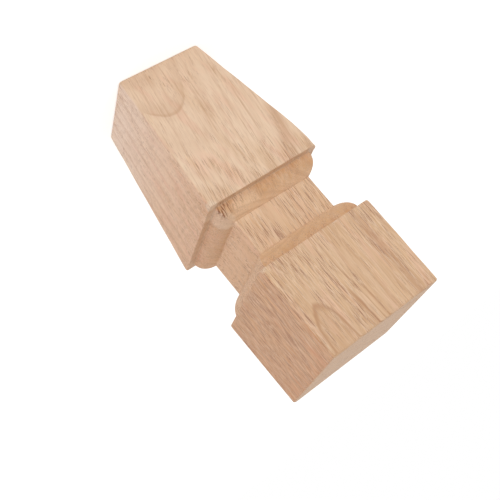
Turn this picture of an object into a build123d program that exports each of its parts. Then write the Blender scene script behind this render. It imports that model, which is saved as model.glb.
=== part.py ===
"""Short square furniture leg, shaped from one piece of solid wood.

The leg stands upright on the narrow end of its taper, with the square block that is
fixed to the furniture on top. +Z is up and the origin is the centre of the foot's
underside. The same moulding is cut straight across all four sides, so every
cross-section is a square and the cuts meet in mitres at the corners.
"""

import os

from build123d import *

# Lengths along the leg, mm, from the floor up
taper_length = 73.0
bead_length = 7.8
neck_length = 17.0
block_length = 44.4

# Widths of the square cross-section, mm
foot_width = 42.8
blank_width = 60.0
neck_width = 41.6

# Flat ledge left on the taper and on the block where a bead starts, mm
ledge_depth = 3.7

# Sanded edges, mm: the arrises of the taper and of the block, and the rims of the two ends
arris_radius = 1.2
rim_radius = 0.8

# Half widths that the outline passes through
half_foot = foot_width / 2
half_blank = blank_width / 2
half_neck = neck_width / 2
half_bead = half_blank - ledge_depth

# Heights where the outline changes
taper_top = taper_length
neck_bottom = taper_top + bead_length
neck_top = neck_bottom + neck_length
block_bottom = neck_top + bead_length
leg_height = block_bottom + block_length

# The side outline: half of it is drawn, closed along the middle line, and mirrored.
# Each bead leaves its ledge at a right angle and rolls in to meet the neck.
with BuildSketch(Plane.XZ) as side_outline:
    with BuildLine():
        foot = Line((0, 0), (half_foot, 0))
        taper = Line(foot @ 1, (half_blank, taper_top))
        lower_ledge = Line(taper @ 1, (half_bead, taper_top))
        lower_bead = TangentArc(lower_ledge @ 1, (half_neck, neck_bottom), tangent=(0, 1))
        neck = Line(lower_bead @ 1, (half_neck, neck_top))
        upper_ledge = Line((half_bead, block_bottom), (half_blank, block_bottom))
        upper_bead = TangentArc(upper_ledge @ 0, neck @ 1, tangent=(0, -1))
        block_side = Line(upper_ledge @ 1, (half_blank, leg_height))
        top = Line(block_side @ 1, (0, leg_height))
        middle_line = Line(top @ 1, foot @ 0)
    make_face()
    mirror(about=Plane.YZ)

# The leg: the outline cut through from front to back, then from side to side
with BuildPart() as leg:
    extrude(side_outline.sketch, amount=half_blank, both=True)
    extrude(side_outline.sketch.rotate(Axis.Z, 90), amount=half_blank, both=True, mode=Mode.INTERSECT)

    # The arrises of the taper and of the block are sanded round, and the moulding stays as cut
    rising_edges = leg.edges().filter_by(Axis.X, reverse=True).filter_by(Axis.Y, reverse=True)
    moulding_edges = rising_edges.filter_by_position(Axis.Z, taper_top, block_bottom)
    fillet(rising_edges - moulding_edges, radius=arris_radius)

    # The rims of the foot and of the top
    level_faces = leg.faces().filter_by(Axis.Z).sort_by(Axis.Z)
    fillet(level_faces[0].edges() + level_faces[-1].edges(), radius=rim_radius)

leg.part.label = "leg"

os.makedirs("parts", exist_ok=True)
export_step(leg.part, "parts/leg.step")
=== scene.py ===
"""Looks of a short square furniture leg, milled from one piece of rubberwood.

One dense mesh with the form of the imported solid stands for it. It adds the hand-sanded
arrises, the chipped rims and the torn end grain that the cutter leaves, and a finish
whose growth rings and pores run through the whole piece, as they do in real wood.
Sizes are in millimetres until something is made in the scene, which is in metres.
"""

import logging
import math
from collections.abc import Iterator
from dataclasses import dataclass
from enum import Enum
from functools import partial

import bpy
from mathutils import Matrix, Vector, noise


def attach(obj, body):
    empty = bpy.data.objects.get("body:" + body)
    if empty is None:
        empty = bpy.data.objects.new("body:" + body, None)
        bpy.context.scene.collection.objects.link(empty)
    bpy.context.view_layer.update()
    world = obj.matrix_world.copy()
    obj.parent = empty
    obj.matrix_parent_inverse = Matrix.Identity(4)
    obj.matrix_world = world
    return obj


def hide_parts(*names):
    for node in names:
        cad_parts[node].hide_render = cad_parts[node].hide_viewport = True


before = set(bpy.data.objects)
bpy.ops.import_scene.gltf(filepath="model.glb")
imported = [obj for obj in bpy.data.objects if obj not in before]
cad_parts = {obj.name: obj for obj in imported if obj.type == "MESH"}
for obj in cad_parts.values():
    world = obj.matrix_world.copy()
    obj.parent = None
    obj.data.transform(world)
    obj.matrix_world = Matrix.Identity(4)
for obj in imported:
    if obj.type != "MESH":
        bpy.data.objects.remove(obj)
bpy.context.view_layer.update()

MM = 0.001
PICTURE_SIZE_PX = 500
WHITE = (1.0, 1.0, 1.0, 1.0)
QUARTER_TURN_DEG = 90
Tree = bpy.types.NodeTree
Socket = bpy.types.NodeSocket
Triple = tuple[float, float, float]
Layer = tuple[Socket, str]  # how much of a shade is laid on, and the shade
log = logging.getLogger("furniture_leg")


def linear(hex_colour: str) -> tuple[float, float, float, float]:
    """Turns an sRGB colour into the linear one that shaders and lamps take.

    Args:
        hex_colour: the colour as "#RRGGBB".

    Returns:
        Linear red, green and blue, with an alpha of 1.
    """
    parts = (int(hex_colour[i : i + 2], 16) / 255 for i in (1, 3, 5))
    red, green, blue = (p / 12.92 if p <= 0.04045 else ((p + 0.055) / 1.055) ** 2.4 for p in parts)
    return red, green, blue, 1.0


def add_node(
    tree: Tree, kind: str, inputs: dict | tuple = (), output: int | str = 0, **settings: object
) -> Socket | None:
    """Adds one node to a tree, with its settings and what feeds it.

    Args:
        tree: the node tree.
        kind: the node's type name, without "ShaderNode".
        inputs: plain values, or outputs that are linked in, by socket or in the sockets' order.
        output: which of the node's outputs to give back.
        settings: the node's own properties.

    Returns:
        The node's output, if it has any. Its other outputs are reached through the output's node.
    """
    node = tree.nodes.new("ShaderNode" + kind)
    for name, value in settings.items():
        setattr(node, name, value)
    for socket, source in inputs.items() if isinstance(inputs, dict) else enumerate(inputs):
        if isinstance(source, Socket):
            tree.links.new(source, node.inputs[socket])
        else:
            node.inputs[socket].default_value = source
    return node.outputs[output] if len(node.outputs) else None


class Run(Enum):
    """The stretches of the leg's outline."""

    END = "flat end"
    TAPER = "taper"
    LEDGE = "ledge"
    BEAD = "bead"
    NECK = "neck"
    BLOCK = "block"


class Corner(Enum):
    """The leg's four arrises, in the order that a level's points go round."""

    FRONT_RIGHT = 0
    BACK_RIGHT = 1
    BACK_LEFT = 2
    FRONT_LEFT = 3


class Mark(Enum):
    """What the work has left on the surface, each a value from 0 to 1 at every point of the mesh. Two of
    them also carry painted shade and painted light.
    """

    # darker colour of the cutter, with painted shadow under the ledge rims and painted shade towards the
    # neck on the sides
    MOULDED_AND_PAINTED_SHADE = "moulded"
    # pale of the cutter's polish, and painted light on the beads
    BURNISHED_AND_PAINTED_LIGHT = "burnished"
    TORN = "torn"
    FRESH = "fresh"


@dataclass(frozen=True)
class Blemish:
    """A spot where the cutter tore the grain or knocked a splinter off. Sizes are in millimetres."""

    mark: Mark
    centre: Triple
    reach: float
    depth: float
    strength: float


@dataclass(frozen=True)
class KnockedCorner:
    """The corner of a rim that the sander took off more than the rest. Sizes are in millimetres."""

    corner: Corner
    height: float
    radius: float
    length: float


@dataclass(frozen=True)
class Station:
    """One level of the outline, where the leg's section is a square with rounded corners."""

    half_width: float
    height: float
    run: Run
    corner_radius: float
    crisp: bool = False


@dataclass(frozen=True)
class Ramp:
    """A change from one amount to another between two values of what drives it, level beyond both."""

    start: float
    end: float
    low: float = 0.0
    high: float = 1.0

    def inputs(self, value: Socket) -> dict[str, object]:
        """Gives the inputs of a map range node that makes the change to a value."""
        names = ("Value", "From Min", "From Max", "To Min", "To Max")
        return dict(zip(names, (value, self.start, self.end, self.low, self.high)))


@dataclass(frozen=True)
class Pattern:
    """A noise in the wood: its size along each axis, mm, its finer layers, and how much of it shows."""

    size: Triple
    detail: float = 2.0
    shown: Ramp | None = None


@dataclass(frozen=True)
class GrowthRing:
    """The dark late wood of one ring, shown over part of the leg's height. Lengths are in millimetres."""

    radius: float
    thickness: float
    blur: float
    darkness: float
    hidden_at: float = -2.0
    shown_at: float = -1.0


@dataclass(frozen=True)
class OpenGrain:
    """A place, in millimetres, where the grain is more open through the leg, or closer if negative."""

    across: float
    height: float
    half_width: float
    half_height: float
    amount: float


@dataclass(frozen=True)
class PoreKind:
    """One kind of pore. Spacing is in millimetres, and reach is the share of it that a pore fills."""

    spacing: Triple
    reach: float
    left_out: float
    depth: float


@dataclass(frozen=True)
class Rubberwood:
    """Rubberwood, planed, moulded and sanded, with no finish on it.

    It is a pale tan wood with a pink cast. Its growth rings are faint, a darker edge of late
    wood against the paler start of the next ring, and its pores are large enough to see: on
    a side they are short brown strokes along the grain, and on a cut across the grain they
    are dots. The moulding cutter leaves such cuts darker and more yellow than the sides, and
    the saw leaves them greyer. On the moulding that darker colour also carries a painted
    shadow under the ledge rims and painted shade towards the neck. Bare sanded wood has next
    to no shine.
    """

    name: str = "rubberwood_sanded"
    pale_wood: str = "#E7CAAE"
    warm_wood: str = "#D4AE88"
    pink_wood: str = "#E2B096"
    late_wood: str = "#B4835C"
    pore: str = "#8C4A20"
    # The cutter's darker end grain, also laid on as painted shadow and painted shade on the moulding, and
    # the glow of open grain
    moulded_end_and_painted_shadow: str = "#CD9864"
    # Pale of polished wood, also laid on as painted light on the beads, and the colour of pale fibres
    burnished: str = "#F3D0AC"
    sawn_end: str = "#D3AE8C"
    torn: str = "#8C5429"
    fresh: str = "#EAD8C2"

    # Shine and relief: the roughness drifts a little, and the bump is in millimetres
    ior: float = 1.53
    roughness: float = 0.6
    roughness_change: float = 0.2
    sheen: Pattern = Pattern((3.0, 3.0, 30.0))
    bump_strength: float = 0.5
    bump_depth: float = 0.1
    pore_relief: float = -1.0
    raised_fibres: Pattern = Pattern((0.5, 0.5, 12.0))

    # The pith, mm: the tree's heart runs behind the back of the leg, moves sideways as it rises,
    # leans towards the front and has a knee inside the block
    pith_x: Ramp = Ramp(20.0, 90.0, 12.0, 21.5)
    pith_y: Ramp = Ramp(119.0, 141.0, 43.12, 42.84)
    pith_lean: float = 0.006

    # The grain bends from side to side, and the fibres fray the rings, mm
    bend: Pattern = Pattern((22.0, 22.0, 50.0), 1.0)
    bend_reach: Triple = (2.2, 0.05, 0.0)
    fray: Pattern = Pattern((2.2, 2.2, 14.0))
    fray_reach: float = 0.08

    # Growth rings from the pith outwards: the taper shows an arch of one and the block of another
    growth_rings: tuple[GrowthRing, ...] = (
        GrowthRing(17.5, 2.2, 0.4, 0.3),
        GrowthRing(24.0, 2.8, 0.4, 0.25),
        GrowthRing(31.5, 2.2, 0.4, 0.3),
        GrowthRing(37.0, 2.6, 0.4, 0.2),
        GrowthRing(44.5, 3.0, 0.4, 0.25),
        GrowthRing(51.0, 2.4, 0.4, 0.2),
        GrowthRing(58.0, 3.5, 0.4, 0.2),
        GrowthRing(64.5, 3.0, 2.0, 0.1),
        GrowthRing(67.54, 1.2, 0.1, 0.18, 45.0, 32.0),
        GrowthRing(67.54, 0.3, 0.14, 0.4, 14.0, 25.0),
        GrowthRing(72.2, 1.4, 0.05, 0.25, 105.0, 125.0),
        GrowthRing(72.2, 0.12, 0.06, 0.75, 105.0, 125.0),
        GrowthRing(73.95, 1.0, 0.1, 0.35, 118.0, 138.0),
        GrowthRing(73.95, 0.4, 0.2, 0.95, 126.0, 140.0),
        GrowthRing(74.8, 0.15, 0.1, 0.65, 70.0, 112.0),
        GrowthRing(75.5, 0.3, 0.15, 0.75, 126.0, 138.0),
        GrowthRing(77.9, 1.0, 0.4, 0.25, 70.0, 112.0),
        GrowthRing(81.2, 2.5, 2.0, 0.4, 90.0, 75.0),
        GrowthRing(83.3, 2.2, 1.3, 0.6, 90.0, 110.0),
    )
    rings_on_moulding: Ramp = Ramp(0.0, 1.0, 1.0, 0.25)

    # Faint bands between the rings, mm apart, stronger on the moulding and weaker on the two sides
    band_width: float = 1.8
    band_contrast: Ramp = Ramp(0.45, 0.7)
    bands_on_moulding: Ramp = Ramp(0.0, 1.0, 0.12, 0.3)
    bands_on_quartered: float = -0.15

    # The two sides that are cut towards the pith, by how far a surface faces that way
    side_facing: Ramp = Ramp(0.5, 0.9)

    # Fibres follow the taper, closer together at the foot, and lean sideways as they run down to it, mm
    grain_spread: Ramp = Ramp(0.0, 73.0, 1.28, 1.0)
    grain_leans: tuple[Ramp, ...] = (Ramp(0.0, 75.0, 8.25, 0.0), Ramp(0.0, 105.0, 9.45, 0.0))

    # Pores: the finest real ones are thinner than a picture shows, so these are drawn coarser, as
    # strokes about 0.15 to 0.25 mm across and 6 to 11 mm long, with a paler lip beside each
    pore_kinds: tuple[PoreKind, ...] = (
        PoreKind((0.24, 0.26, 9.0), 0.34, 1.4, 0.8),
        PoreKind((0.32, 0.34, 15.0), 0.36, 1.6, 0.95),
    )
    pores_on_moulding: Ramp = Ramp(0.0, 1.0, 1.0, 0.55)
    pores_by_height: Ramp = Ramp(60.0, 85.0, 0.7, 1.0)
    pores_by_openness: float = 2.0
    pore_fade: float = 0.35
    pore_floor: float = 0.7
    lip_width: float = 1.8
    lip_share: float = 0.42

    # How open the grain is: by height, on the two sides, and in places
    openness_drift: Pattern = Pattern((4.0, 4.0, 18.0))
    openness_by_height: tuple[Ramp, ...] = (Ramp(35.0, 85.0, -0.16, 0.05), Ramp(112.0, 128.0, 0.0, -0.05))
    openness_on_quartered: Ramp = Ramp(0.0, 1.0, 0.0, 0.12)
    open_grain: tuple[OpenGrain, ...] = (
        OpenGrain(20.0, 111.0, 13.0, 10.0, 0.38),
        OpenGrain(28.5, 113.0, 1.8, 11.0, 0.5),
        OpenGrain(27.6, 128.0, 1.6, 16.0, 0.5),
        OpenGrain(11.0, 126.0, 5.0, 10.0, 0.22),
        OpenGrain(7.0, 145.0, 6.0, 10.0, 0.2),
        OpenGrain(24.0, 142.0, 6.0, 9.0, 0.2),
        OpenGrain(-12.0, 146.0, 4.0, 7.0, 0.15),
        OpenGrain(-25.0, 109.0, 5.0, 7.0, 0.15),
        OpenGrain(-6.0, 122.0, 9.0, 16.0, -0.15),
        OpenGrain(0.0, 89.0, 60.0, 14.0, 0.16),
        OpenGrain(14.0, 90.0, 6.0, 10.0, 0.25),
        OpenGrain(3.0, 90.0, 8.0, 12.0, -0.4),
        OpenGrain(-14.0, 89.0, 8.0, 12.0, 0.1),
        OpenGrain(22.0, 89.0, 4.0, 11.0, -0.5),
        OpenGrain(32.0, 128.0, 6.0, 28.0, 0.42),
        OpenGrain(-17.0, 69.0, 4.0, 8.0, 0.25),
        OpenGrain(0.0, 66.0, 3.0, 8.0, 0.25),
        OpenGrain(10.0, 66.0, 3.0, 7.0, 0.2),
        OpenGrain(16.0, 57.0, 4.0, 9.0, 0.25),
        OpenGrain(22.0, 51.0, 4.0, 11.0, 0.25),
        OpenGrain(-4.0, 16.0, 5.0, 7.0, 0.2),
    )

    # The ground colour warms and darkens towards the block, partly a painted shade, warms in open grain,
    # and blushes in patches and on the sides
    warm_drift: Pattern = Pattern((7.0, 7.0, 70.0))
    warmth_and_painted_shade_by_height: Ramp = Ramp(45.0, 105.0, -0.22, 0.3)
    warmth_by_openness: float = 0.8
    warmth: Ramp = Ramp(0.6, 1.2)
    blush: Pattern = Pattern((4.0, 4.0, 18.0))
    blush_share: Ramp = Ramp(0.5, 0.7, 0.0, 0.4)
    ruddy_by_height: Ramp = Ramp(75.0, 110.0, 0.35, 0.1)

    # Painted light on the right side: warmer and darker above the middle of the taper and again on the
    # block, a painted reflected light and painted shade, and paler at the foot, a painted reflection
    right_side_painted_light: tuple[tuple[Ramp, str], ...] = (
        (Ramp(45.0, 75.0, 0.0, 0.17), "#C06E38"),
        (Ramp(100.0, 112.0, 0.0, 0.4), "#C06E38"),
        (Ramp(45.0, 5.0, 0.0, 0.8), "#F3DDCD"),
    )

    # Streaks, ray flecks and fibres, and the golden glow of open grain
    streaks: Pattern = Pattern((1.2, 1.2, 60.0), 3.0, Ramp(0.52, 0.8, 0.0, 0.5))
    flecks: Pattern = Pattern((1.2, 1.5, 0.8), 2.0, Ramp(0.52, 0.7, 0.0, 0.2))
    fibres: Pattern = Pattern((0.5, 0.55, 9.0))
    fibres_by_openness: Ramp = Ramp(0.4, 0.8, 0.45, 1.4)
    dark_fibre_share: Ramp = Ramp(0.48, 0.28, 0.0, 0.6)
    pale_fibre_share: Ramp = Ramp(0.52, 0.72, 0.0, 0.5)
    glow_share: Ramp = Ramp(0.55, 0.95, 0.0, 0.3)

    # What the tools leave: the cutter's mottled colour, the saw's on level ends, and torn splinters
    mottle: Pattern = Pattern((1.6, 1.6, 5.0), 2.0, Ramp(0.3, 0.7, 0.5, 1.0))
    sawn_share: Ramp = Ramp(0.9, 0.99, 0.0, 0.8)
    splinters: Pattern = Pattern((0.45, 3.0, 4.5), 1.0, Ramp(0.46, 0.62))

    def material(self) -> bpy.types.Material:
        """Makes the finish.

        Returns:
            The material.
        """
        material = bpy.data.materials.new(self.name)
        material.use_nodes = True
        material.node_tree.nodes.clear()
        WoodNodes(self, material.node_tree).shade()
        return material


class WoodNodes:
    """The nodes that draw a wood's figure and colour it, in the leg's own frame and in millimetres.

    The rings go by the place `grain` and the fibres by the place `following`. `quartered` is 1 on
    the two sides that are cut towards the pith, and `openness` tells how open the grain is.
    """

    def __init__(self, wood: Rubberwood, tree: Tree) -> None:
        """Lays out what the parts of the figure go by.

        Args:
            wood: the wood's settings.
            tree: the material's tree.
        """
        self.wood = wood
        self.add = partial(add_node, tree)
        coordinates = self.add("TexCoord", output="Object")
        place = self.add("VectorMath", {0: coordinates, "Scale": 1 / MM}, operation="SCALE")
        self.height = self.add("SeparateXYZ", (place,), "Z")
        self.grain = self._wavy(place)
        self.quartered, self.right_side = self._sides()
        self.following = self._following()
        self.openness = self._openness()

    def shade(self) -> None:
        """Gives the material its surface."""
        wood = self.wood
        pores, lips = self._pores()
        sheen = self._noise(self.grain, wood.sheen)
        level = wood.roughness - wood.roughness_change / 2
        roughness = self.add("Math", (sheen, wood.roughness_change, level), operation="MULTIPLY_ADD")
        shader = self.add(
            "BsdfPrincipled",
            {
                "Base Color": self._colour(pores, lips),
                "Roughness": roughness,
                "IOR": wood.ior,
                "Normal": self._bump(pores),
            },
        )
        self.add("OutputMaterial", {"Surface": shader})

    def _noise(self, place: Socket, pattern: Pattern) -> Socket:
        """Adds a noise.

        Args:
            place: where on the leg.
            pattern: which noise.

        Returns:
            The noise, from 0 to 1, or how much of it shows.
        """
        scale = tuple(1 / length for length in pattern.size)
        scaled = self.add("VectorMath", (place, scale), operation="MULTIPLY")
        value = self.add("TexNoise", {"Vector": scaled, "Scale": 1.0, "Detail": pattern.detail})
        return self.add("MapRange", pattern.shown.inputs(value)) if pattern.shown else value

    def _mark(self, mark: Mark) -> Socket:
        """Reads one of the marks on the mesh."""
        return self.add("Attribute", output="Fac", attribute_name=mark.value)

    def _wavy(self, place: Socket) -> Socket:
        """Bends the grain a little from side to side as it runs up the leg.

        Args:
            place: where on the leg.

        Returns:
            The place that the grain has there.
        """
        bend = self._noise(place, self.wood.bend).node.outputs["Color"]
        middle = self.add("VectorMath", (bend, (0.5, 0.5, 0.5)), operation="SUBTRACT")
        return self.add("VectorMath", (middle, self.wood.bend_reach, place), operation="MULTIPLY_ADD")

    def _sides(self) -> tuple[Socket, Socket]:
        """Tells which sides are cut towards the pith, where the rays show as flecks.

        Returns:
            1 on those two sides and 0 on the front and the back, and the same for the right side alone.
        """
        normal = self.add("TexCoord", output="Normal")
        facing = self.add("SeparateXYZ", (normal,), "X")
        either = self.add("Math", (facing,), operation="ABSOLUTE")
        quartered = self.add("MapRange", self.wood.side_facing.inputs(either))
        right_side = self.add("MapRange", self.wood.side_facing.inputs(facing))
        return quartered, right_side

    def _following(self) -> Socket:
        """Lets the fibres follow the taper and, but for the left side, lean as they run down to the foot.

        Returns:
            The place that a fibre has there.
        """
        spread = self.add("MapRange", self.wood.grain_spread.inputs(self.height))
        lean = 0.0
        for ramp in self.wood.grain_leans:
            part = self.add("MapRange", ramp.inputs(self.height))
            lean = self.add("Math", (lean, part), operation="ADD")
        sizes = self.add("CombineXYZ", {"X": 1.0, "Y": spread, "Z": 1.0})
        shift = self.add("CombineXYZ", {"X": lean})
        leaning = self.add("VectorMath", (self.grain, sizes, shift), operation="MULTIPLY_ADD")
        sizes = self.add("CombineXYZ", {"X": spread, "Y": spread, "Z": 1.0})
        straight = self.add("VectorMath", (self.grain, sizes), operation="MULTIPLY")
        left_side = self.add("Math", (self.quartered, self.right_side), operation="SUBTRACT")
        ways = {"Factor": left_side, "A": leaning, "B": straight}
        return self.add("Mix", ways, "Result", data_type="VECTOR")

    def _openness(self) -> Socket:
        """Tells how open the grain is, which sets how many pores show.

        Returns:
            About 0.5 on the whole, more where the grain is open and less where it is close.
        """
        drift = self._noise(self.grain, self.wood.openness_drift)
        changes = [(self.height, ramp) for ramp in self.wood.openness_by_height]
        changes.append((self.quartered, self.wood.openness_on_quartered))
        for spot in self.wood.open_grain:
            middle = (spot.across, 0.0, spot.height)
            scale = (1 / spot.half_width, 0.0, 1 / spot.half_height)
            offset = self.add("VectorMath", (self.grain, middle), operation="SUBTRACT")
            offset = self.add("VectorMath", (offset, scale), operation="MULTIPLY")
            away = self.add("VectorMath", (offset,), "Value", operation="LENGTH")
            changes.append((away, Ramp(0.0, 1.0, spot.amount, 0.0)))
        for where, ramp in changes:
            change = self.add("MapRange", ramp.inputs(where), interpolation_type="SMOOTHSTEP")
            drift = self.add("Math", (drift, change), operation="ADD")
        return drift

    def _radius(self) -> Socket:
        """Measures how far out from the pith a place is.

        Returns:
            The radius, frayed a little by the fibres.
        """
        wood = self.wood
        across, behind = (
            self.add("MapRange", ramp.inputs(self.height), interpolation_type="SMOOTHSTEP")
            for ramp in (wood.pith_x, wood.pith_y)
        )
        behind = self.add("Math", (self.height, -wood.pith_lean, behind), operation="MULTIPLY_ADD")
        pith = self.add("CombineXYZ", {"X": across, "Y": behind, "Z": self.height})
        radius = self.add("VectorMath", (self.grain, pith), "Value", operation="DISTANCE")
        fray = self._noise(self.grain, wood.fray)
        fray = self.add("Math", (fray, 0.5), operation="SUBTRACT")
        return self.add("Math", (fray, wood.fray_reach, radius), operation="MULTIPLY_ADD")

    def _rings(self, radius: Socket) -> Socket:
        """Lays the growth rings round the pith, plainer where the moulding cuts across them.

        Args:
            radius: how far out from the pith.

        Returns:
            0 in early wood, rising to the darkness of each ring's late wood.
        """
        darkest = 0.0
        for ring in self.wood.growth_rings:
            late = 1.0
            for where, ramp in (
                (radius, Ramp(ring.radius - ring.thickness, ring.radius, 0.0, ring.darkness)),
                (radius, Ramp(ring.radius + ring.blur, ring.radius)),
                (self.height, Ramp(ring.hidden_at, ring.shown_at)),
            ):
                share = self.add("MapRange", ramp.inputs(where), interpolation_type="SMOOTHSTEP")
                late = self.add("Math", (late, share), operation="MULTIPLY")
            darkest = self.add("Math", (darkest, late), operation="MAXIMUM")
        moulded = self._mark(Mark.MOULDED_AND_PAINTED_SHADE)
        worked = self.add("Math", (moulded, self.quartered, moulded), operation="MULTIPLY_ADD")
        plain = self.add("MapRange", self.wood.rings_on_moulding.inputs(worked))
        return self.add("Math", (darkest, plain), operation="MULTIPLY")

    def _bands(self, radius: Socket) -> Socket:
        """Lays the many faint bands between the growth rings.

        Args:
            radius: how far out from the pith.

        Returns:
            How dark the bands are.
        """
        wood = self.wood
        out = self.add("Math", (radius, 1 / wood.band_width), operation="MULTIPLY")
        bands = self.add("TexNoise", {"W": out, "Scale": 1.0, "Detail": 2.0}, noise_dimensions="1D")
        dark = self.add("MapRange", wood.band_contrast.inputs(bands))
        most = self.add("MapRange", wood.bands_on_moulding.inputs(self._mark(Mark.MOULDED_AND_PAINTED_SHADE)))
        terms = (self.quartered, wood.bands_on_quartered, most)
        most = self.add("Math", terms, operation="MULTIPLY_ADD", use_clamp=True)
        return self.add("Math", (dark, most), operation="MULTIPLY")

    def _pores(self) -> tuple[Socket, Socket]:
        """Scatters the pores, fine ones in drifts and bolder ones here and there.

        Returns:
            How dark the pores are, 0 outside them, and how pale the sanded lips beside them are.
        """
        wood = self.wood
        closed = self.add("MapRange", wood.pores_on_moulding.inputs(self._mark(Mark.MOULDED_AND_PAINTED_SHADE)))
        sanded = self.add("MapRange", wood.pores_by_height.inputs(self.height))
        closed = self.add("Math", (closed, sanded), operation="MULTIPLY")
        totals = [0.0, 0.0]
        for kind in wood.pore_kinds:
            scale = tuple(1 / length for length in kind.spacing)
            scaled = self.add("VectorMath", (self.following, scale), operation="MULTIPLY")
            cell = self.add("TexVoronoi", {"Vector": scaled, "Scale": 1.0}).node.outputs
            chance = self.add("SeparateColor", {"Color": cell["Color"]})
            terms = (self.openness, wood.pores_by_openness, chance)
            drifting = self.add("Math", terms, operation="MULTIPLY_ADD")
            shown = Ramp(kind.left_out, kind.left_out + wood.pore_fade, 0.0, kind.depth)
            kept = self.add("MapRange", shown.inputs(drifting))
            kept = self.add("Math", (kept, closed), operation="MULTIPLY")
            pore = Ramp(kind.reach, kind.reach * wood.pore_floor)
            lip = Ramp(kind.reach * wood.lip_width, kind.reach)
            for part, ramp in enumerate((pore, lip)):
                near = ramp.inputs(cell["Distance"])
                inside = self.add("MapRange", near, interpolation_type="SMOOTHSTEP")
                inside = self.add("Math", (inside, kept), operation="MULTIPLY")
                totals[part] = self.add("Math", (totals[part], inside), operation="MAXIMUM")
        return totals[0], totals[1]

    def _colour(self, pores: Socket, lips: Socket) -> Socket:
        """Mixes the wood's colours by its figure, the way it was cut, and the painted shade and painted
        light.

        Args:
            pores: how dark the pores are.
            lips: how pale the lips of the pores are.

        Returns:
            The base colour.
        """
        wood, radius = self.wood, self._radius()
        splinters = self._noise(self.grain, wood.splinters)
        torn = self.add("Math", (splinters, self._mark(Mark.TORN)), operation="MULTIPLY")
        pale_lips = self.add("Math", (lips, wood.lip_share), operation="MULTIPLY")
        layers = (
            *self._tones(),
            *self._fibres(),
            *self._cuts(),
            (self._rings(radius), wood.late_wood),
            (self._bands(radius), wood.late_wood),
            (self._mark(Mark.FRESH), wood.fresh),
            (torn, wood.torn),
            (pale_lips, wood.fresh),
            (pores, wood.pore),
        )
        colour = linear(wood.pale_wood)
        for share, shade in layers:
            mixed = {"Factor": share, "A": colour, "B": linear(shade)}
            colour = self.add("Mix", mixed, "Result", data_type="RGBA")
        return colour

    def _tones(self) -> list[Layer]:
        """Lets the ground colour drift warmer, partly a painted shade towards the block, and pinker, and
        lays the painted light and shade of the right side.

        Returns:
            Its layers, in the order they are laid on.
        """
        wood = self.wood
        # Warmer and darker towards the block: partly the wood's tone, partly painted shade
        by_height = wood.warmth_and_painted_shade_by_height.inputs(self.height)
        rise = self.add("MapRange", by_height, interpolation_type="SMOOTHSTEP")
        drift = self._noise(self.grain, wood.warm_drift)
        drift = self.add("Math", (drift, rise), operation="ADD")
        terms = (self.openness, wood.warmth_by_openness, drift)
        drift = self.add("Math", terms, operation="MULTIPLY_ADD")
        warm = self.add("MapRange", wood.warmth.inputs(drift))
        blush = self._noise(self.grain, wood.blush).node.outputs["Color"]
        blush = self.add("SeparateColor", {"Color": blush}, "Green")
        pink = self.add("MapRange", wood.blush_share.inputs(blush))
        ruddy = self.add("MapRange", wood.ruddy_by_height.inputs(self.height))
        pink = self.add("Math", (self.quartered, ruddy, pink), operation="MULTIPLY_ADD")
        layers = [(warm, wood.warm_wood), (pink, wood.pink_wood)]
        # Painted reflected light and painted shade on the right side, and a painted reflection at its foot
        for ramp, shade in wood.right_side_painted_light:
            share = self.add("MapRange", ramp.inputs(self.height))
            share = self.add("Math", (share, self.right_side), operation="MULTIPLY")
            layers.append((share, shade))
        return layers

    def _fibres(self) -> list[Layer]:
        """Draws streaks, ray flecks and single fibres, and warms the open grain.

        Returns:
            Its layers, in the order they are laid on.
        """
        wood = self.wood
        streaks = self._noise(self.following, wood.streaks)
        flecks = self._noise(self.grain, wood.flecks)
        flecks = self.add("Math", (flecks, self.quartered), operation="MULTIPLY")
        layers = [(streaks, wood.late_wood), (flecks, wood.late_wood)]
        fibres = self._noise(self.following, wood.fibres)
        coarse = self.add("MapRange", wood.fibres_by_openness.inputs(self.openness))
        moulded = self._mark(Mark.MOULDED_AND_PAINTED_SHADE)
        coarse = self.add("Math", (coarse, moulded), operation="SUBTRACT", use_clamp=True)
        pair = ((wood.dark_fibre_share, wood.late_wood), (wood.pale_fibre_share, wood.burnished))
        for ramp, shade in pair:
            share = self.add("MapRange", ramp.inputs(fibres))
            share = self.add("Math", (share, coarse), operation="MULTIPLY")
            layers.append((share, shade))
        glow = self.add("MapRange", wood.glow_share.inputs(self.openness))
        layers.append((glow, wood.moulded_end_and_painted_shadow))
        return layers

    def _cuts(self) -> list[Layer]:
        """Colours the wood where the cutter and the saw went across the grain, with the painted shade and
        painted light of the moulding's marks.

        Returns:
            Its layers, in the order they are laid on.
        """
        wood = self.wood
        moulded = self._mark(Mark.MOULDED_AND_PAINTED_SHADE)
        # The cutter's colour, with painted shadow under the ledge rims and painted shade towards the neck
        # on the sides
        cut = self.add("Math", (moulded, self._noise(self.grain, wood.mottle)), operation="MULTIPLY")
        normal = self.add("TexCoord", output="Normal")
        upward = self.add("SeparateXYZ", (normal,), "Z")
        upward = self.add("Math", (upward,), operation="ABSOLUTE")
        sawn = self.add("MapRange", wood.sawn_share.inputs(upward))
        sawn = self.add("Math", (sawn, moulded), operation="SUBTRACT", use_clamp=True)
        # Painted light on the beads, with the cutter's polish on the neck and in rubbed patches
        burnished = self._mark(Mark.BURNISHED_AND_PAINTED_LIGHT)
        return [(cut, wood.moulded_end_and_painted_shadow), (burnished, wood.burnished), (sawn, wood.sawn_end)]

    def _bump(self, pores: Socket) -> Socket:
        """Sinks the pores and raises the fibres.

        Args:
            pores: how dark the pores are.

        Returns:
            The bumped normal.
        """
        wood = self.wood
        fibres = self._noise(self.following, wood.raised_fibres)
        relief = self.add("Math", (pores, wood.pore_relief, fibres), operation="MULTIPLY_ADD")
        depth = wood.bump_depth * MM
        return self.add("Bump", {"Strength": wood.bump_strength, "Distance": depth, "Height": relief})


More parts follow.
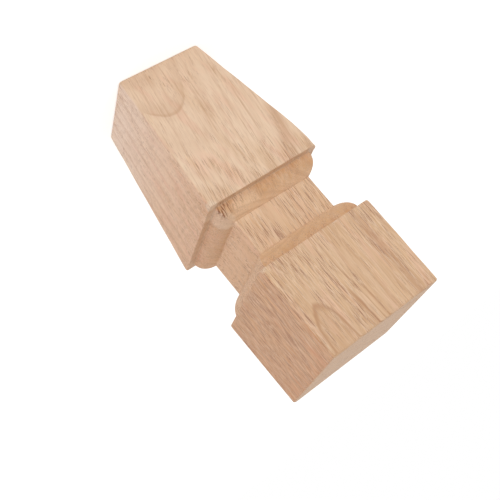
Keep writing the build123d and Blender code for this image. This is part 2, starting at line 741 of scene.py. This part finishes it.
@dataclass
class MilledLeg:
    """The whole leg, one piece: foot, taper, moulded neck and block. Sizes are in millimetres."""

    finish: Rubberwood
    name: str = "milled_leg"
    node: str = "leg"
    body: str = "root"
    slot: str = "rubberwood"

    # The outline, from the floor up
    taper_length: float = 73.0
    bead_length: float = 7.8
    neck_length: float = 17.0
    block_length: float = 44.4
    foot_width: float = 42.8
    blank_width: float = 60.0
    neck_width: float = 41.6
    ledge_depth: float = 3.7

    # Sanded edges
    arris_radius: float = 1.2
    mitre_radius: float = 0.4
    rim_corner_radius: float = 2.0
    rim_corner_length: float = 1.5
    rim_radius: float = 0.8
    ledge_rim_radius: float = 0.25

    # Share by which the sanded radius changes along an arris, the length of a change, and a shift
    # that sets the four arrises apart
    sanding_change: float = 0.35
    sanding_length: float = 11.0
    sanding_apart: float = 7.3

    # Corners that are rounder than the others, and how fast that fades along the arris
    knocked_corners: tuple[KnockedCorner, ...] = (
        KnockedCorner(Corner.FRONT_LEFT, 73.0, 4.0, 28.0),
        KnockedCorner(Corner.BACK_RIGHT, 150.0, 3.6, 90.0),
    )
    knock_fade: float = 1.5

    # Torn grain beside the front mitres of the lower bead, rubbed patches, and chips on the rims
    blemishes: tuple[Blemish, ...] = (
        Blemish(Mark.TORN, (24.0, -25.5, 75.5), 5.0, 0.2, 1.0),
        Blemish(Mark.TORN, (17.0, -26.0, 74.0), 4.5, 0.1, 0.5),
        Blemish(Mark.TORN, (8.0, -26.0, 74.0), 6.0, 0.05, 0.2),
        Blemish(Mark.TORN, (-2.0, -26.0, 74.0), 6.0, 0.05, 0.15),
        Blemish(Mark.TORN, (-12.0, -26.0, 74.0), 6.0, 0.05, 0.15),
        Blemish(Mark.BURNISHED_AND_PAINTED_LIGHT, (13.0, -24.0, 78.0), 8.0, 0.0, 0.5),
        Blemish(Mark.FRESH, (26.0, -20.0, 78.0), 7.0, 0.0, 0.28),
        Blemish(Mark.FRESH, (28.5, -28.5, 73.0), 3.0, 0.0, 0.4),
        Blemish(Mark.FRESH, (-30.0, -24.0, 73.0), 7.0, 0.8, 0.1),
        Blemish(Mark.FRESH, (-10.0, -30.0, 105.6), 1.2, 0.3, 0.3),
        Blemish(Mark.FRESH, (-24.0, -30.0, 105.6), 1.2, 0.3, 0.3),
        Blemish(Mark.FRESH, (29.5, -29.5, 105.6), 2.0, 0.3, 0.3),
    )

    # How ragged the edge of a blemish is
    ragged_level: float = 1.2
    ragged_scale: float = 0.9
    ragged_gain: float = 1.6

    # How much of the cutter's dark colour, with painted shade, the moulding keeps, on a bead from its ledge
    # to the neck:
    # on the front it is darker next to the ledge, a painted shadow of the rim, and on the sides darker
    # towards the neck, a painted shade. The ledge's share is partly painted shadow too. The upper bead
    # keeps a share of that, on the front and on the sides
    cutter_and_painted_shadow_on_ledge: float = 0.35
    cutter_and_painted_shadow_on_bead: tuple[float, float] = (1.0, 0.7)
    cutter_on_neck: float = 0.15
    cutter_and_painted_shade_on_side_bead: tuple[float, float] = (0.05, 0.55)
    cutter_on_side_neck: float = 0.1
    cutter_on_upper_bead: tuple[float, float] = (0.75, 0.1)

    # How pale the wood is made: on the beads' front and back, rising steeply towards the neck, a painted
    # light against the shade of the inner corner; on the neck, the cutter's polish; and on the sides of the
    # upper bead, a painted light
    bead_painted_light: float = 0.75
    bead_painted_light_rise: int = 4
    neck_burnish: float = 0.2
    upper_side_painted_light: float = 0.28

    # How finely the surface is divided: levels lie closer on arcs, and the flat ends are square rings
    level_step: float = 0.9
    arc_density: float = 1.5
    fewest_arc_steps: int = 4
    side_steps: int = 72
    corner_steps: int = 5
    end_rings: int = 9
    end_corner_share: float = 0.2

    @property
    def neck_bottom(self) -> float:
        """Height where the lower bead meets the neck."""
        return self.taper_length + self.bead_length

    @property
    def neck_top(self) -> float:
        """Height where the neck meets the upper bead."""
        return self.neck_bottom + self.neck_length

    @property
    def block_bottom(self) -> float:
        """Height of the ledge under the block."""
        return self.neck_top + self.bead_length

    @property
    def top(self) -> float:
        """Height of the whole leg."""
        return self.block_bottom + self.block_length

    def build(self) -> bpy.types.Object:
        """Makes the leg's mesh, dresses it and puts it in the place of the solid.

        Returns:
            The leg.
        """
        stations = list(self._stations())
        rings = [self._ring(station) for station in stations]
        count = len(rings[0])
        worn = [self._worn(point, station) for ring, station in zip(rings, stations) for point in ring]
        points = [point * MM for point, _ in worn]
        for end in (stations[0], stations[-1]):
            points.append(Vector((0.0, 0.0, end.height * MM)))
        mesh = bpy.data.meshes.new(self.name)
        mesh.from_pydata(points, [], self._faces(len(rings), count))
        mesh.update()
        mesh.polygons.foreach_set("use_smooth", [True] * len(mesh.polygons))
        self._sharpen(mesh, stations, count)
        for mark in Mark:
            values = [marks[mark] for _, marks in worn] + [0.0, 0.0]
            mesh.attributes.new(mark.value, "FLOAT", "POINT").data.foreach_set("value", values)
        leg = bpy.data.objects.new(self.name, mesh)
        bpy.context.scene.collection.objects.link(leg)
        leg.data.materials.append(self.finish.material())
        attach(leg, self.body)
        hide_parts(self.node)
        return leg

    def _faces(self, levels: int, count: int) -> list[tuple[int, ...]]:
        """Joins the levels into a skin, and closes both ends round their middle points.

        Args:
            levels: how many levels there are.
            count: how many points each has.

        Returns:
            The point numbers of each face.
        """
        faces = []
        last, foot_middle = (levels - 1) * count, levels * count
        for low in range(0, last, count):
            high = low + count
            for i in range(count):
                j = (i + 1) % count
                faces.append((low + i, low + j, high + j, high + i))
        for i in range(count):
            j = (i + 1) % count
            faces.append((foot_middle, j, i))
            faces.append((foot_middle + 1, last + i, last + j))
        return faces

    def _sharpen(self, mesh: bpy.types.Mesh, stations: list[Station], count: int) -> None:
        """Marks the edges of the crisp levels as sharp.

        Args:
            mesh: the leg's mesh.
            stations: its levels.
            count: how many points each has.
        """
        crisp = {level for level, station in enumerate(stations) if station.crisp}
        sharp = mesh.attributes.new("sharp_edge", "BOOLEAN", "EDGE")
        for edge in mesh.edges:
            levels = {point // count for point in edge.vertices}
            sharp.data[edge.index].value = len(levels) == 1 and levels <= crisp

    def _stations(self) -> Iterator[Station]:
        """Walks up the outline from the middle of the foot to the middle of the top.

        Yields:
            Each level, with its width, height and corner radius.
        """
        half_foot, half_blank, half_neck = self.foot_width / 2, self.blank_width / 2, self.neck_width / 2
        half_bead = half_blank - self.ledge_depth
        taper_top, block_bottom = self.taper_length, self.block_bottom
        drop = half_bead - half_neck
        bead_radius = (self.bead_length**2 + drop**2) / (2 * drop)
        bead_turn = math.degrees(math.asin(self.bead_length / bead_radius))
        bead_centre = half_bead - bead_radius
        rim, lip = self.rim_radius, self.ledge_rim_radius
        slope = (half_blank - half_foot) / taper_top
        taper_start = (half_foot + slope * rim, rim)
        taper_end = (half_blank - slope * lip, taper_top - lip)

        yield from self._flat_end(half_foot - rim, 0.0, outward=True)
        yield from self._arc((half_foot - rim, rim), rim, -90, 0, Run.TAPER)
        yield from self._straight(taper_start, taper_end, Run.TAPER)
        yield from self._arc((half_blank - lip, taper_top - lip), lip, 0, 90, Run.TAPER)
        yield from self._straight((half_blank - lip, taper_top), (half_bead, taper_top), Run.LEDGE)
        yield from self._arc((bead_centre, taper_top), bead_radius, 0, bead_turn, Run.BEAD)
        yield from self._straight((half_neck, self.neck_bottom), (half_neck, self.neck_top), Run.NECK)
        yield from self._arc((bead_centre, block_bottom), bead_radius, -bead_turn, 0, Run.BEAD)
        yield from self._straight((half_bead, block_bottom), (half_blank - lip, block_bottom), Run.LEDGE)
        yield from self._arc((half_blank - lip, block_bottom + lip), lip, -90, 0, Run.BLOCK)
        yield from self._straight((half_blank, block_bottom + lip), (half_blank, self.top - rim), Run.BLOCK)
        yield from self._arc((half_blank - rim, self.top - rim), rim, 0, 90, Run.BLOCK)
        yield from self._flat_end(half_blank - rim, self.top, outward=False)

    def _straight(
        self, start: tuple[float, float], end: tuple[float, float], run: Run
    ) -> Iterator[Station]:
        """Divides a straight stretch of the outline evenly.

        Args:
            start: half width and height where it begins.
            end: half width and height where it ends.
            run: which stretch it belongs to.

        Yields:
            Its levels, both ends included. The neck's two ends are crisp.
        """
        steps = max(2, round(math.dist(start, end) / self.level_step))
        for i in range(steps + 1):
            share = i / steps
            crisp = i in (0, steps) and run is Run.NECK
            width = start[0] + (end[0] - start[0]) * share
            height = start[1] + (end[1] - start[1]) * share
            yield Station(width, height, run, self._corner(width, height, run), crisp)

    def _arc(
        self, centre: tuple[float, float], radius: float, start_deg: float, end_deg: float, run: Run
    ) -> Iterator[Station]:
        """Divides a round stretch of the outline evenly.

        Args:
            centre: half width and height of its centre.
            radius: its radius.
            start_deg: angle where it begins, from straight out, up being positive.
            end_deg: angle where it ends.
            run: which stretch it belongs to.

        Yields:
            Its levels between the two ends, which belong to its neighbours.
        """
        sweep = math.radians(end_deg - start_deg)
        steps = max(self.fewest_arc_steps, round(abs(sweep) * radius / self.level_step * self.arc_density))
        for i in range(1, steps):
            angle = math.radians(start_deg) + sweep * i / steps
            width = centre[0] + radius * math.cos(angle)
            height = centre[1] + radius * math.sin(angle)
            yield Station(width, height, run, self._corner(width, height, run))

    def _flat_end(self, half_width: float, height: float, outward: bool) -> Iterator[Station]:
        """Divides a flat end into square rings.

        Args:
            half_width: half the width of the flat part.
            height: its height.
            outward: whether the rings go out from the middle or in towards it.

        Yields:
            Its levels.
        """
        shares = [(i + 1) / self.end_rings for i in range(self.end_rings)]
        for share in shares if outward else reversed(shares):
            width = half_width * share
            yield Station(width, height, Run.END, min(self.mitre_radius, width * self.end_corner_share))

    def _past_bead(self, half_width: float) -> float:
        """Tells how far out a half width is on the ledge: 0 at the bead and 1 at the rim."""
        return (half_width - self.blank_width / 2 + self.ledge_depth) / self.ledge_depth

    def _rim_distance(self, height: float) -> float:
        """Tells how far a height is from the nearer of the two ledges."""
        return min(abs(height - self.taper_length), abs(height - self.block_bottom))

    def _corner(self, half_width: float, height: float, run: Run) -> float:
        """Gives the corner radius of a level, smaller in the moulding than on the sides.

        Args:
            half_width: half the level's width.
            height: its height.
            run: which stretch it belongs to.

        Returns:
            The radius, larger where the sanding has blunted the corners of the ledge rims.
        """
        if run in (Run.BEAD, Run.NECK):
            return self.mitre_radius
        if run is Run.LEDGE:
            blunting = self.rim_corner_radius - self.mitre_radius
            return self.mitre_radius + blunting * self._past_bead(half_width)
        blunt = max(0.0, 1 - self._rim_distance(height) / self.rim_corner_length) ** 2
        return self.arris_radius + (self.rim_corner_radius - self.arris_radius) * blunt

    def _ring(self, station: Station) -> list[Vector]:
        """Places the points round one level.

        Args:
            station: the level.

        Returns:
            The points, in millimetres, from the front's left corner round to the right.
        """
        width, points = station.half_width, []
        radii = [self._sanded(station, corner) for corner in Corner]
        for side, radius in enumerate(radii):
            turn = Matrix.Rotation(math.radians(QUARTER_TURN_DEG * side), 3, "Z")
            start, end = radii[side - 1] - width, width - radius
            for i in range(self.side_steps + 1):
                across = start + (end - start) * i / self.side_steps
                points.append(turn @ Vector((across, -width, station.height)))
            for i in range(1, self.corner_steps):
                angle = math.radians(QUARTER_TURN_DEG * i / self.corner_steps - QUARTER_TURN_DEG)
                out = Vector((math.cos(angle), math.sin(angle), 0.0)) * radius
                points.append(turn @ (Vector((end, -end, station.height)) + out))
        return points

    def _sanded(self, station: Station, corner: Corner) -> float:
        """Varies the radius of one arris by how hard it was sanded there.

        Args:
            station: the level.
            corner: which of the four arrises.

        Returns:
            The radius.
        """
        spot = Vector((corner.value * self.sanding_apart, 0.0, station.height / self.sanding_length))
        radius = station.corner_radius * (1 + self.sanding_change * noise.noise(spot))
        out = max(0.0, self._past_bead(station.half_width))
        reaches = {Run.TAPER: 1.0, Run.BLOCK: 1.0, Run.LEDGE: out, Run.END: out}
        for knocked in self.knocked_corners:
            if knocked.corner is corner:
                away = abs(station.height - knocked.height) / knocked.length
                near = max(0.0, 1 - away) ** self.knock_fade
                radius = max(radius, knocked.radius * near * reaches.get(station.run, 0.0))
        return radius

    def _tool_marks(self, point: Vector, station: Station) -> dict[Mark, float]:
        """Tells how dark the cutter and painted shade leave one point, and how pale the cutter's polish and
        painted light leave it.

        Args:
            point: the point, in millimetres.
            station: the level it is on.

        Returns:
            How much of each mark it has.
        """
        marks = dict.fromkeys(Mark, 0.0)
        on_side = abs(point.x) > abs(point.y)
        # The moulding's dark mark is the cutter's colour with painted shadow and painted shade; its pale
        # mark is partly painted light
        if station.run is Run.LEDGE:
            marks[Mark.MOULDED_AND_PAINTED_SHADE] = self.cutter_and_painted_shadow_on_ledge
        elif station.run is Run.NECK:
            marks[Mark.MOULDED_AND_PAINTED_SHADE] = self.cutter_on_side_neck if on_side else self.cutter_on_neck
            marks[Mark.BURNISHED_AND_PAINTED_LIGHT] = self.neck_burnish
        elif station.run is Run.BEAD:
            upper = station.height > self.neck_top
            along = self._rim_distance(station.height) / self.bead_length
            near, far = self.cutter_and_painted_shade_on_side_bead if on_side else self.cutter_and_painted_shadow_on_bead
            kept = self.cutter_on_upper_bead[on_side] if upper else 1.0
            marks[Mark.MOULDED_AND_PAINTED_SHADE] = kept * (near + (far - near) * along)
            # Painted light: paler towards the neck on the beads' front and back, and on the sides of the
            # upper bead
            upper_side_painted_light = self.upper_side_painted_light if upper else 0.0
            marks[Mark.BURNISHED_AND_PAINTED_LIGHT] = upper_side_painted_light if on_side else self.bead_painted_light * along**self.bead_painted_light_rise
        return marks

    def _worn(self, point: Vector, station: Station) -> tuple[Vector, dict[Mark, float]]:
        """Puts the marks of the tools, with their painted shade and painted light, and the blemishes on one
        point.

        Args:
            point: the point, in millimetres.
            station: the level it is on.

        Returns:
            The point, sunk where the grain is torn or chipped, and how much of each mark it has.
        """
        marks = self._tool_marks(point, station)
        sink = 0.0
        for spot in self.blemishes:
            share = 1 - (point - Vector(spot.centre)).length / spot.reach
            if share > 0:
                ragged = share * (self.ragged_level + noise.noise(point * self.ragged_scale))
                marks[spot.mark] = max(marks[spot.mark], min(spot.strength, self.ragged_gain * ragged))
                sink = max(sink, spot.depth * min(1.0, ragged))
        inward = Vector((-point.x, -point.y, 0.0)).normalized()
        return point + inward * sink, marks


@dataclass(frozen=True)
class Lamp:
    """A soft lamp: where it stands and its width and height, in metres, and its power in watts."""

    name: str
    place: Triple
    size: tuple[float, float]
    power: float


@dataclass
class Studio:
    """The pale floor, the soft light and the camera. Floor and lamps are in metres."""

    floor_colour: str = "#F2F1EF"
    floor_size: float = 12.0
    floor_roughness: float = 0.9
    floor_glow: float = 0.45
    sky_strength: float = 0.8
    lamps: tuple[Lamp, ...] = (
        Lamp("key", (-0.10, -0.50, 0.05), (0.5, 0.1), 0.5),
        Lamp("fill", (0.50, -0.12, 0.04), (0.4, 0.08), 0.3),
    )
    lamp_target: Triple = (0.0, 0.0, 0.075)

    # The camera, fitted to the leg's edges in the photograph, in millimetres
    camera_place: Triple = (180.98, -328.66, 176.23)
    camera_target: Triple = (26.0, -25.41, 95.46)
    camera_up: Triple = (-0.4854, -0.448, -0.7508)
    focal_length_px: float = 878.79
    sensor_width: float = 36.0
    clip_start: float = 10.0

    def build(self) -> None:
        """Makes everything that is not part of the leg."""
        self._floor()
        self._sky()
        for lamp in self.lamps:
            self._lamp(lamp)
        self._camera()
        bpy.context.scene.view_settings.view_transform = "Standard"

    def _seen(self, tree: Tree) -> Socket:
        """Tells rays that show the background, straight, mirrored or through glass, from those that light.

        Args:
            tree: the tree of the floor's material or of the world.

        Returns:
            1 for rays that show it and 0 for the others.
        """
        path = add_node(tree, "LightPath").node.outputs
        shown = path["Is Camera Ray"]
        for kind in ("Is Glossy Ray", "Is Transmission Ray"):
            shown = add_node(tree, "Math", (shown, path[kind]), operation="MAXIMUM")
        return shown

    def _floor(self) -> None:
        """Lays the floor that the leg stands on."""
        half = self.floor_size / 2
        corners = [(-half, -half, 0), (half, -half, 0), (half, half, 0), (-half, half, 0)]
        mesh = bpy.data.meshes.new("floor")
        mesh.from_pydata(corners, [], [(0, 1, 2, 3)])
        floor = bpy.data.objects.new("floor", mesh)
        bpy.context.scene.collection.objects.link(floor)
        material = bpy.data.materials.new("floor_paper")
        material.use_nodes = True
        tree = material.node_tree
        tree.nodes.clear()
        glow = add_node(tree, "Math", (self._seen(tree), self.floor_glow), operation="MULTIPLY")
        paper = add_node(
            tree,
            "BsdfPrincipled",
            {
                "Base Color": linear(self.floor_colour),
                "Roughness": self.floor_roughness,
                "Specular IOR Level": 0.0,
                "Emission Color": WHITE,
                "Emission Strength": glow,
            },
        )
        add_node(tree, "OutputMaterial", {"Surface": paper})
        mesh.materials.append(material)

    def _sky(self) -> None:
        """Surrounds the leg with even light, white where it is seen."""
        world = bpy.data.worlds.new("studio")
        world.use_nodes = True
        tree = world.node_tree
        tree.nodes.clear()
        brightness = Ramp(0.0, 1.0, self.sky_strength)
        strength = add_node(tree, "MapRange", brightness.inputs(self._seen(tree)))
        sky = add_node(tree, "Background", {"Color": WHITE, "Strength": strength})
        add_node(tree, "OutputWorld", {"Surface": sky})
        bpy.context.scene.world = world

    def _lamp(self, lamp: Lamp) -> None:
        """Sets up a soft lamp that faces the leg.

        Args:
            lamp: the lamp.
        """
        light = bpy.data.lights.new(lamp.name, "AREA")
        light.shape = "RECTANGLE"
        light.size, light.size_y = lamp.size
        light.energy = lamp.power
        stand = bpy.data.objects.new(lamp.name, light)
        place = Vector(lamp.place)
        facing = (Vector(self.lamp_target) - place).to_track_quat("-Z", "Y")
        stand.matrix_world = Matrix.LocRotScale(place, facing, None)
        bpy.context.scene.collection.objects.link(stand)

    def _camera(self) -> None:
        """Places the camera where the photograph was taken from."""
        data = bpy.data.cameras.new("camera")
        data.sensor_fit = "HORIZONTAL"
        data.sensor_width = self.sensor_width
        data.lens = self.focal_length_px / PICTURE_SIZE_PX * self.sensor_width
        data.clip_start = self.clip_start * MM
        camera = bpy.data.objects.new("camera", data)
        place, target = Vector(self.camera_place) * MM, Vector(self.camera_target) * MM
        backward = (place - target).normalized()
        right = Vector(self.camera_up).cross(backward).normalized()
        upward = backward.cross(right)
        turned = Matrix((right, upward, backward)).transposed()
        camera.matrix_world = Matrix.LocRotScale(place, turned.to_quaternion(), None)
        bpy.context.scene.collection.objects.link(camera)
        bpy.context.scene.camera = camera


def main() -> None:
    """Builds the leg and its studio."""
    logging.basicConfig(level=logging.INFO, format="%(name)s: %(message)s")
    leg = MilledLeg(Rubberwood()).build()
    log.info("%s: %d points, %d faces", leg.name, len(leg.data.vertices), len(leg.data.polygons))
    studio = Studio()
    studio.build()
    log.info("studio: floor, sky, camera and %d lamps", len(studio.lamps))


if __name__ == "__main__":
    main()
